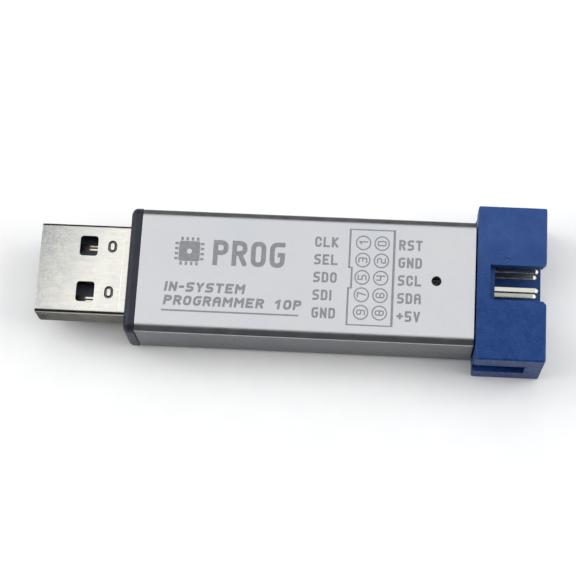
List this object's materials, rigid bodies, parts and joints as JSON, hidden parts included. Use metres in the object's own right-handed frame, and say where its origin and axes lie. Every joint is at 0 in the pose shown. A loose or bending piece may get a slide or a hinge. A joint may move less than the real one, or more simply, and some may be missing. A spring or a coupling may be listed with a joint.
{
  "type": "usb microcontroller programmer",
  "caption": "Stick-shaped in-system programmer: a USB plug, a metal sleeve around a circuit board, and a boxed pin header for a ribbon cable.",
  "frame": {"origin": "centre of the bounding box, at its bottom", "axes": "+X from the USB plug's tip to the header's mouth, +Y across the stick, +Z out of the marked top face of the sleeve"},
  "size_m": [0.065, 0.0204, 0.0091],
  "materials": {
    "sleeve_aluminium": "bead blasted and clear anodised",
    "bezel_plastic": "moulded, fine texture",
    "plug_shell": "nickel plated, stamped",
    "plug_insulator": "moulded",
    "contact_gold": "gold plated",
    "header_blue": "moulded, satin",
    "pin_gold": "gold flash over nickel",
    "board": "solder mask over glass laminate",
    "chip_black": "moulded epoxy",
    "lead_tin": "matt tin plate",
    "ceramic": "fired ceramic",
    "crystal_lid": "plated lid",
    "fuse_green": "coated polymer",
    "tantalum_orange": "moulded",
    "lamp_lens": "clear, pale green",
    "resistor_black": "glazed",
    "solder": "bright solder"
  },
  "bodies": {
    "root": {"sleeve": "sleeve_aluminium", "front_bezel": "bezel_plastic", "usb_shell": "plug_shell", "usb_insulator": "plug_insulator", "usb_contact_1": "contact_gold", "usb_contact_2": "contact_gold", "usb_contact_3": "contact_gold", "usb_contact_4": "contact_gold", "header_housing": "header_blue", "header_pin_01": "pin_gold", "header_pin_02": "pin_gold", "header_pin_03": "pin_gold", "header_pin_04": "pin_gold", "header_pin_05": "pin_gold", "header_pin_06": "pin_gold", "header_pin_07": "pin_gold", "header_pin_08": "pin_gold", "header_pin_09": "pin_gold", "header_pin_10": "pin_gold", "circuit_board": "board", "controller_chip": "chip_black", "controller_leads": "lead_tin", "memory_chip": "chip_black", "memory_leads": "lead_tin", "buffer_chip": "chip_black", "buffer_leads": "lead_tin", "voltage_regulator": "chip_black", "regulator_leads": "lead_tin", "crystal_base": "ceramic", "crystal_lid": "crystal_lid", "surge_array": "chip_black", "surge_array_leads": "lead_tin", "fuse_body": "fuse_green", "fuse_terminals": "lead_tin", "tantalum_capacitor": "tantalum_orange", "tantalum_terminals": "lead_tin", "status_led_base": "ceramic", "status_led_lens": "lamp_lens", "chip_capacitors": "ceramic", "capacitor_terminals": "lead_tin", "chip_resistors": "resistor_black", "resistor_terminals": "lead_tin", "pin_solder": "solder", "contact_solder": "solder", "shell_solder": "solder"}
  },
  "joints": []
}
